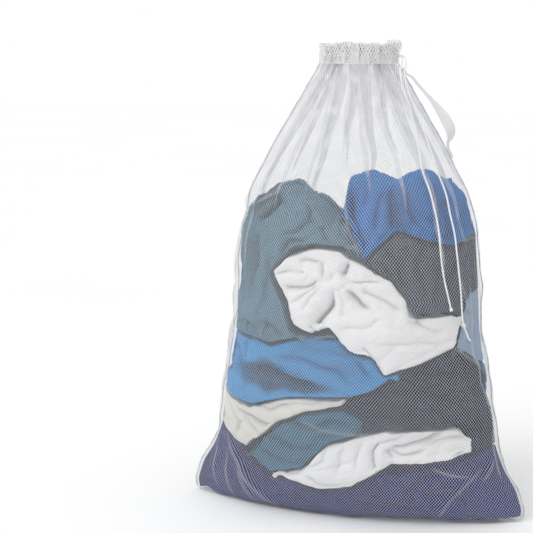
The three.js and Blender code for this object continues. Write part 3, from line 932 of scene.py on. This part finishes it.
def fabric_material(name, colour, vary, pattern, size):
    shader = Shader(name)
    pale = min(colour) > PALE
    where = shader.coordinates(turn=TWILL_TURN if pattern == "twill" else (0, 0, 0))
    broad = shader.noise(where, 9, 3)
    fine = shader.noise(where, 0.35 / size, 3)
    if pattern == "terry":
        cells = shader.texture(
            "ShaderNodeTexVoronoi", where, "Distance", {"Scale": 1 / size}, feature="F1"
        )
        weave = shader.math("SUBTRACT", 1.0, cells)
    else:
        direction = "DIAGONAL" if pattern == "twill" else "Z"
        weave = shader.wave(where, direction, 0.32 / size, distortion=1.0, detail_scale=2)
    texture = shader.blend(weave, 0.4, fine)
    # Broad lighter and darker patches: partly the cloth's uneven tone, partly painted highlights
    # and painted shade.
    patchy_tone_and_light = shader.ramp(
        shader.blend(texture, 0.55, broad),
        (0.3, tint(colour, 1 - vary)), (0.5, colour), (0.72, tint(colour, 1 + 1.3 * vary)),
    )
    # Painted shade: where the "fold" layer is high, the colour is mixed towards a darker copy of
    # itself (half as bright for pale cloth, three tenths for the rest).
    mix = shader.node("ShaderNodeMix", data_type="RGBA", blend_type="MIX")
    folded = shader.node("ShaderNodeAttribute", attribute_name="fold").outputs["Fac"]
    shader.feed(mix.inputs["Factor"], folded)
    shader.feed(mix.inputs["A"], patchy_tone_and_light)
    mix.inputs["B"].default_value = (*tint(colour, 0.5 if pale else 0.3), 1)
    relief = shader.bump(texture, size * 0.5, 0.5)
    return shader.finish(mix.outputs["Result"], 0.92, relief, sheen=0.15 if pale else 0.0)


MATERIALS = {name: fabric_material(name, *spec) for name, spec in FABRICS.items()}

def folds(text):
    """Folds from "width depth: x z, x z, ...", parted by semicolons."""
    found = []
    for fold in text.split(";"):
        shape, line = fold.split(":")
        places = np.array([place.split() for place in line.split(",")], float)
        found.append((places, *map(float, shape.split())))
    return found


# Each garment: CAD node, material slot, fabric where it isn't the slot's, how much it is crumpled,
# the lean of its small folds in radians, and its deep folds: each has a width, a depth and a line
# across the front or the back.
GARMENTS = [
    ("white_knotted_towel", "white_cotton", "", 0.9, 0.4, """
     7 12: -30 429, -56 424, -105 411; 4 6: -60 446, -88 440, -114 431;
     5 9: -34 462, -58 464, -74 458; 4 9: -38 466, -33 446, -29 428;
     7 20: -8 414, -22 384, -34 352, -50 296; 6 15: 13 420, 36 404, 60 380;
     4 6: 12 432, 48 435, 78 428; 7 14: 6 438, 14 452, 20 470; 6 7: 35 424, 70 403, 110 386;
     5 6: -92 378, -57 412, -30 424; 5 4: -4 352, 60 358, 74 376;
     6 5: 110 372, 150 352, 176 346; 5 4: 60 330, 112 322, 168 330; 5 6: 40 318, 64 290, 74 276;
     4 5: -62 372, -50 400, -26 420; 6 6: 112 398, 128 380, 140 352;
     4 5: -16 446, -12 434, -22 424; 5 3: 0 420, 8 400, 6 372"""),
    ("white_twisted_cloth", "white_cotton", "", 0.9, 0.2, """
     5 10: 176 180, 150 160, 111 147, 84 134; 4 7: 84 134, 110 130, 150 140;
     4 5: 41 152, 30 128, 20 96; 5 9: 72 156, 57 128, 62 100, 74 84;
     4 6: 238 138, 205 116, 180 112; 5 8: 84 134, 96 118; 6 5: 6 150, 0 110, -12 74;
     4 8: -128 66, -80 76, -62 92; 4 7: -64 74, -42 58, -20 54; 4 5: 110 172, 96 158, 70 150;
     5 5: -20 136, -30 108, -60 88; 4 5: 220 150, 180 158, 140 150"""),
    ("cream_bundle", "cream_cotton", "", 0.8, -0.5, """
     5 9: -212 196, -193 180, -157 162, -118 160; 5 9: -232 200, -201 162, -206 126;
     4 6: -168 194, -133 191, -80 206; 5 6: -150 140, -176 150, -190 176;
     3 4: -100 206, -50 208, 0 222; 5 6: -250 180, -240 150, -246 124"""),
    ("teal_rolled_shirt", "teal_cotton", "deep_teal_cotton", 1.0, 0.1, """
     6 10: -108 186, -70 168, -20 176, 30 190; 6 10: -142 148, -92 126, -36 136;
     6 8: -156 112, -115 96, -84 92; 4 5: -60 150, -20 156, 30 160;
     5 6: -40 112, -70 98, -100 90"""),
    ("blue_folded_shirt", "blue_cotton", "sky_cotton", 1.0, -0.3, """
     9 22: -196 268, -150 262, -90 250, -30 236; 6 9: -214 292, -206 262, -196 238;
     5 6: -238 290, -226 262, -224 236; 6 9: -120 292, -60 288, -10 272, 30 248;
     5 6: -60 316, -10 306, 50 300; 6 9: 20 310, 44 282, 58 256;
     5 7: -172 312, -190 292, -198 270; 7 14: -160 246, -120 232, -60 222"""),
    ("pale_blue_shirt", "pale_blue_cotton", "", 0.8, 1.4, """
     5 8: 206 380, 214 350, 206 318; 5 6: 222 372, 228 340, 220 304"""),
    ("blue_bunched_shirt", "blue_cotton", "", 1.0, 1.2, """
     8 18: 8 588, 16 546, 27 510, 40 474; 6 8: 66 596, 60 560, 50 524;
     7 14: 76 604, 88 560, 88 516; 6 12: 99 590, 113 552, 132 522;
     5 10: 144 602, 157 579, 176 552; 5 9: 168 560, 176 524, 178 494;
     5 6: 196 560, 190 536, 200 512; 5 6: 30 604, 36 574, 32 540;
     5 5: 110 560, 140 545, 160 520; 5 5: 60 510, 80 512, 96 512"""),
    ("teal_shirt", "teal_cotton", "", 1.1, 1.0, """
     9 16: -178 545, -160 533, -132 552, -116 584; 7 12: -6 562, 10 515, 34 468;
     9 9: -62 492, -96 494, -112 466; 9 9: -114 500, -82 522, -48 566;
     9 10: -166 510, -164 470, -170 420; 8 8: -130 470, -140 420, -150 370;
     7 7: -196 480, -200 420, -196 360; 7 7: -30 560, -34 530, -20 500;
     6 10: -70 590, -60 560, -64 540; 8 8: -150 350, -120 330, -100 318;
     7 7: -212 350, -180 340, -150 322; 6 8: -140 588, -150 566, -170 556"""),
    ("charcoal_trousers", "charcoal_cotton", "grey_trousers", 0.9, 1.2, """
     7 8: 138 500, 131 456, 140 410; 6 9: 183 520, 188 467, 180 400;
     8 9: 70 500, 96 470, 118 420; 6 6: 60 478, 80 452, 96 424; 6 8: 200 490, 206 450, 214 400;
     6 6: 150 480, 160 440, 160 396"""),
    ("charcoal_sweater", "charcoal_cotton", "", 1.1, -0.3, """
     9 10: 60 240, 110 252, 170 244, 220 212; 8 9: 120 290, 160 276, 210 286;
     8 11: 190 316, 214 286, 226 246; 9 9: 40 206, 100 208, 150 192;
     7 9: 232 230, 226 190, 236 150; 7 6: 140 230, 170 206, 190 184;
     6 6: 96 270, 130 262, 150 240"""),
    ("navy_jeans", "navy_denim", "", 1.1, -0.4, """
     8 12: 196 112, 150 84, 118 60, 104 30; 8 12: -200 106, -176 80, -140 30;
     7 9: -236 96, -228 60, -196 20; 10 8: -120 92, -80 64, -10 40; 9 8: -20 84, 60 70, 110 84;
     8 9: 210 104, 230 76, 262 60; 9 7: 130 50, 190 40, 250 24; 9 6: -20 44, 60 26, 140 20;
     6 6: -276 50, -262 30, -250 12; 8 6: -60 40, -100 26, -150 16"""),
    ("back_grey_fleece", "grey_fleece", "", 1.0, 0.1, """
     10 12: -200 200, -80 176, 60 196, 180 180; 9 9: -60 150, 40 140, 150 154;
     8 8: -220 150, -160 140, -120 160; 8 8: 120 230, 180 214, 230 220"""),
    ("back_blue_towel", "blue_cotton", "sky_cotton", 1.0, -0.1, """
     10 13: -200 300, -60 326, 60 300, 200 330; 8 9: -120 372, -20 350, 80 376;
     8 8: -180 262, -60 276, 40 262; 8 8: 100 290, 160 280, 220 290"""),
    ("back_white_sheet", "white_cotton", "", 1.0, 0.8, """
     9 14: 20 440, 90 470, 120 530, 110 580; 8 10: 60 420, 140 432, 210 410;
     8 9: 150 540, 170 480, 200 450; 7 8: 40 500, 60 540, 60 570"""),
    ("back_teal_shirt", "teal_cotton", "", 1.0, 1.1, """
     9 13: -180 420, -120 480, -90 560; 8 10: -60 410, -50 470, -20 540;
     8 9: -200 500, -160 540, -150 575; 7 7: -130 410, -100 440, -80 500"""),
]

NET_CLEARANCE = 4.6  # between the net as it hangs and the washing
FLOOR_CLEARANCE = 3.5
BLOCK_VOXEL = 0.005
SETTLE_FRAMES = 14
OUT_LIMIT, IN_LIMIT, SLIDE_LIMIT = 0.0012, 0.011, 0.003  # metres that the cloth may move
CLOTH_SETTINGS = {
    "quality": 4, "mass": 0.15, "tension_stiffness": 15, "compression_stiffness": 15,
    "shear_stiffness": 5, "bending_stiffness": 0.1, "air_damping": 3, "use_pressure": True,
    "uniform_pressure_force": 1.5, "shrink_min": -0.14,
}
FOLD_DEPTH = 1.5  # times the depths in the tables
LESSER_FOLD = 0.25  # the share of the shallower fold's depth that is added where two meet
FOLD_SHADE = 0.75
FOLD_SHAKE, SHADE_SHAKE = 9, 14  # how far noise moves a fold, or a shaded place
CREASE_LONG, CREASE_SHORT = 13, 34  # noise cells to a metre, along the small folds and across
CREASE_DEPTH, FINE_DEPTH = 4.6, 1.7
SAG, SAG_MEAN = 2.6, 1.4
SPREAD = 1.018  # the soft load settles sideways a little
SHADED = {  # turned-in cloth in the shade: middles and half sizes as (x, z), and how dark
    "blue_folded_shirt": [((-140, 252), (66, 24), 0.9), ((-66, 238), (60, 15), 0.9)],
    "blue_bunched_shirt": [((16, 520), (12, 60), 0.5), ((92, 536), (14, 40), 0.5)],
    "teal_shirt": [((-160, 574), (50, 18), 0.5), ((-178, 450), (16, 60), 0.35)],
}


def take_shape(piece):
    """Makes what the modifiers give the piece's own mesh."""
    graph = bpy.context.evaluated_depsgraph_get()
    made = bpy.data.meshes.new_from_object(piece.evaluated_get(graph))
    piece.modifiers.clear()
    old = piece.data
    piece.data = made
    bpy.data.meshes.remove(old)


def vertex_array(mesh, kind="co"):
    """The places of a mesh's points, or with kind "normal" their normals."""
    values = np.empty(len(mesh.vertices) * 3)
    if kind == "co":
        mesh.vertices.foreach_get("co", values)
    else:
        mesh.vertex_normals.foreach_get("vector", values)
    return values.reshape(-1, 3)


def put_points(mesh, points):
    mesh.vertices.foreach_set("co", points.ravel())
    mesh.update()


def garment_blank(node):
    """A rounded copy of a garment's block."""
    piece = add_object(node + "_cloth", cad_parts[node].data.copy())
    piece.data.materials.clear()
    remesh = piece.modifiers.new("even", "REMESH")
    remesh.mode = "VOXEL"
    remesh.voxel_size = BLOCK_VOXEL
    smooth = piece.modifiers.new("round", "SMOOTH")
    smooth.factor = 0.5
    smooth.iterations = 3
    take_shape(piece)
    return piece


def crumple(pieces):
    """Lets each blank grow as cloth under a little pressure, so that it buckles into wrinkles."""
    before = {
        piece: (vertex_array(piece.data), vertex_array(piece.data, "normal")) for piece in pieces
    }
    for piece in pieces:
        cloth = piece.modifiers.new("cloth", "CLOTH")
        for name, value in CLOTH_SETTINGS.items():
            setattr(cloth.settings, name, value)
        cloth.settings.effector_weights.gravity = 0
        cloth.collision_settings.use_collision = False
        cloth.collision_settings.use_self_collision = False
        cloth.point_cache.frame_start = 1
        cloth.point_cache.frame_end = SETTLE_FRAMES
    for step in range(1, SETTLE_FRAMES + 1):
        bpy.context.scene.frame_set(step)
    for piece in pieces:
        take_shape(piece)
    bpy.context.scene.frame_set(1)
    for piece, (start, normals) in before.items():
        moved = vertex_array(piece.data) - start
        out = np.einsum("ij,ij->i", moved, normals)
        slide = moved - out[:, None] * normals
        length = np.maximum(np.linalg.norm(slide, axis=1), 1e-9)
        slide *= np.minimum(1, SLIDE_LIMIT / length)[:, None]
        out = OUT_LIMIT - np.clip(OUT_LIMIT - out, 0, IN_LIMIT + OUT_LIMIT)
        put_points(piece.data, start + slide + out[:, None] * normals)


def line_distance(x, z, line):
    """Distance from points to a line of (x, z) places, and how far along it the nearest one is."""
    lengths = travelled(line)
    best = np.full(x.shape, 1e9)
    along = np.zeros(x.shape)
    for (a, b), start, end in zip(zip(line, line[1:]), lengths, lengths[1:]):
        d = b - a
        share = np.clip(((x - a[0]) * d[0] + (z - a[1]) * d[1]) / (d @ d), 0, 1)
        away = np.hypot(x - a[0] - share * d[0], z - a[1] - share * d[1])
        nearer = away < best
        best = np.where(nearer, away, best)
        along = np.where(nearer, (start + share * (end - start)) / lengths[-1], along)
    return best, along


def keep_inside(points):
    """Moves points in metres that come too near the net, or the floor, back inside."""
    cloth = np.linspace(CLOTH_AT_RING[FLOOR_EDGE], CLOTH_TO_HEM, 400)
    height, *shape = rings_along(cloth)
    x, y, z = points.T / MM
    half_width, half_depth, n = (np.interp(z, height, values) for values in shape)
    a, b = half_width - NET_CLEARANCE, half_depth - NET_CLEARANCE
    x = np.clip(x, -a, a)
    inside = np.maximum(1 - (x / np.maximum(a, 1)) ** 2, 0)
    limit = np.maximum(b, 1) * np.sqrt(inside) ** n
    return np.stack([x, np.clip(y, -limit, limit), np.maximum(z, FLOOR_CLEARANCE)], 1) * MM


# How far the top of the load is pressed down from its blocks' tops, at places across.
TOP_HOLLOWS = [
    (-230, 22), (-200, 16), (-181, 26), (-163, 21), (-146, 12), (-120, 12), (-104, 15), (-94, 23),
    (-85, 31), (-72, 30), (-58, 31), (-45, 38), (-32, 46), (-20, 54), (-12, 36), (-4, 28), (3, 18),
    (10, 0), (24, 4), (41, 11), (60, 10), (84, 7), (105, 0), (140, 3), (180, 4), (205, 10),
    (230, 10),
]


TOP_STARTS, TOP_FULL = 490, 575  # heights between which the pressing comes in
BACK_SLUMP, BACK_LUMPS = 20, 22


def press_top(points):
    """Lowers the top of the load, and lets it slump towards the back."""
    x, y, z = points.T / MM
    across, down = np.array(TOP_HOLLOWS, float).T
    behind = np.clip(y / 80, 0, 1)
    lumps = np.array([lump(px * 13, py * 13, 4.4) for px, py, _ in points])
    fall = np.interp(x, across, down) + behind**1.5 * BACK_SLUMP
    fall += np.clip(y / 20, 0, 1) * lumps * BACK_LUMPS
    points[:, 2] -= fall * rise(z, TOP_STARTS, TOP_FULL) * MM
    return points


WAVE_TOP, WAVE_FULL = 0.53, 0.45  # metres: where the waves have died out, and are still whole
WAVE_REACH = 0.06  # metres to the front and back of the middle
WAVE_AT_TOP = 0.15  # the share of the waves that is left there
WAVE_DEPTH, RIPPLE_DEPTH, WAVE_LIFT = 0.05, 0.016, 0.045


def wave_middle(points):
    """Bends the planes inside the load where garments meet, alike for all of them."""
    below_top = rise(points[:, 2], WAVE_TOP, WAVE_FULL)
    share = WAVE_AT_TOP + (1 - WAVE_AT_TOP) * below_top
    near_middle = np.exp(-((points[:, 1] / WAVE_REACH) ** 2)) * share
    moves = []
    for x, y, z in points:
        wave = lump(x * 5, y * 5, z * 9)
        ripple = noise.noise(Vector((x, y, z)) * 24)
        lift = lump(x * 5 + 3, y * 9, z * 6 + 8)
        moves.append((WAVE_DEPTH * wave + RIPPLE_DEPTH * ripple, WAVE_LIFT * lift))
    points[:, 1:] += np.array(moves) * near_middle[:, None]
    return points


# An end of cloth drawn in to a point: where it starts and ends across, its height in millimetres,
# and how far it closes.
TAPERS = {"white_twisted_cloth": (176, 240, 140, 0.9)}


def taper_end(points, start, end, height, closing):
    share = rise(points[:, 0] / MM, start, end)
    points[:, 2] += (height * MM - points[:, 2]) * closing * share ** 1.6
    return points


def noise_at(points, scale, shift=(0, 0, 0)):
    return np.array([noise.noise(Vector(p) * scale + Vector(shift)) for p in points])


def fold_garment(piece, crumpling, lean, deep_folds, shaded):
    """Presses the deep folds and a web of small creases into a garment's cloth, and stores painted
    shade for the fold valleys and the shaded places in its "fold" layer.
    """
    mesh = piece.data
    points = vertex_array(mesh)
    normals = vertex_array(mesh, "normal")
    x, z = points[:, 0] / MM, points[:, 2] / MM
    facing = np.clip(np.abs(normals[:, 1]) * 1.3 + np.maximum(normals[:, 2], 0) * 0.8, 0, 1)
    shake_x, shake_z = noise_at(points, 26), noise_at(points, 26, (9, 3, 5))
    depth = np.zeros(len(points))
    dark = np.zeros(len(points))
    for line, width, deep in deep_folds:
        away, along = line_distance(x + shake_x * FOLD_SHAKE, z + shake_z * FOLD_SHAKE, line)
        ends = np.clip(np.minimum(along, 1 - along) / 0.2, 0.15, 1)
        cut = np.exp(-away / width) * ends * deep * FOLD_DEPTH
        depth = np.maximum(depth, cut) + LESSER_FOLD * np.minimum(depth, cut)
        # Painted shade: darker along each deep fold's valley, more so for deeper folds.
        shade = np.exp(-((away / (0.5 * width)) ** 2)) * ends * min(1.0, deep / 16)
        dark = np.maximum(dark, shade)
    cosine, sine = math.cos(lean), math.sin(lean)
    creases = np.empty(len(points))
    for i, (px, py, pz) in enumerate(points):
        along = (px * cosine + pz * sine) * CREASE_LONG
        across = (-px * sine + pz * cosine) * CREASE_SHORT
        large = abs(lump(along, py * 14, across))
        small = abs(lump(along * 2.1 + 4, py * 30, across * 1.9))
        creases[i] = CREASE_DEPTH * (1 - large) ** 5 + FINE_DEPTH * (1 - small) ** 4
    sag = np.maximum(noise_at(points, 11, (2, 7, 1)) * SAG + SAG_MEAN, 0)
    inward = (depth + sag) * facing + creases * crumpling * (0.3 + 0.7 * facing)
    points -= normals * (inward * MM)[:, None]
    points[:, 0] *= SPREAD
    put_points(mesh, keep_inside(wave_middle(press_top(points))))
    # Painted shade over the given places of turned-in cloth, with soft edges.
    for middle, size, painted_darkness in shaded:
        off_x = x + shake_x * SHADE_SHAKE - middle[0]
        off_z = z + shake_z * SHADE_SHAKE - middle[1]
        away = np.hypot(off_x / size[0], off_z / size[1])
        shade = painted_darkness * (0.5 - smooth_step((away - 1) / 0.8)) / FOLD_SHADE
        dark = np.maximum(dark, shade)
    # The "fold" layer holds this painted shade, weaker where the cloth faces sideways or down.
    add_layer(mesh, "fold", np.clip(dark * facing * FOLD_SHADE, 0, 1))


def add_washing():
    blanks = [garment_blank(node) for node, *_ in GARMENTS]
    crumple(blanks)
    for piece, (node, slot, fabric, crumpling, lean, lines) in zip(blanks, GARMENTS):
        piece.modifiers.new("finer", "SUBSURF").levels = 1
        take_shape(piece)
        fold_garment(piece, crumpling, lean, folds(lines), SHADED.get(node, []))
        if node in TAPERS:
            put_points(piece.data, taper_end(vertex_array(piece.data), *TAPERS[node]))
        piece.data.polygons.foreach_set("use_smooth", [True] * len(piece.data.polygons))
        piece.data.materials.clear()
        finish_piece(piece, MATERIALS[fabric or slot], slot, node)


add_washing()

# ---- stage

ROOM_LIGHT = 0.5  # the white room's own light, against the white that it shows


FLOOR_HALF, FLOOR_DROP = 12.0, 0.0005  # the floor lies just under the bag


def add_sun(name, down, round_from_front, share, softness):
    """Even light over the whole floor; the angles are in degrees, down from overhead first."""
    data = bpy.data.lights.new(name, "SUN")
    data.energy = share * math.pi
    data.angle = math.radians(softness)
    light = add_object(name, data)
    light.rotation_euler = (math.radians(down), 0, math.radians(round_from_front))


def add_stage():
    corners = [(x * FLOOR_HALF, y * FLOOR_HALF, 0) for x, y in ((-1, -1), (1, -1), (1, 1), (-1, 1))]
    floor = mesh_object("studio_floor", corners, [(0, 1, 2, 3)], smooth=False)
    floor.location.z = -FLOOR_DROP
    shader = Shader("pale_floor")
    where = shader.coordinates()
    cloud = shader.noise(where, 0.8, 2)
    colour = shader.ramp(cloud, (0.3, (0.93, 0.93, 0.93)), (0.7, (0.95, 0.95, 0.95)))
    grain = shader.bump(shader.noise(where, 300, 2), 0.0002, 0.2)
    floor.data.materials.append(shader.finish(colour, 0.9, grain))
    world = bpy.data.worlds.new("studio")
    world.use_nodes = True
    tree = world.node_tree
    background = tree.nodes["Background"]
    background.inputs["Color"].default_value = (1, 1, 1, 1)
    seen = tree.nodes.new("ShaderNodeLightPath").outputs["Is Camera Ray"]
    strength = tree.nodes.new("ShaderNodeMapRange")
    tree.links.new(seen, strength.inputs["Value"])
    strength.inputs["To Min"].default_value = ROOM_LIGHT
    strength.inputs["To Max"].default_value = 1.0
    tree.links.new(strength.outputs["Result"], background.inputs["Strength"])
    bpy.context.scene.world = world
    bpy.context.scene.view_settings.view_transform = "Standard"
    add_sun("overhead_light", 0, 0, share=0.37, softness=70)
    add_sun("front_light", 48, -35, share=0.32, softness=40)


add_stage()
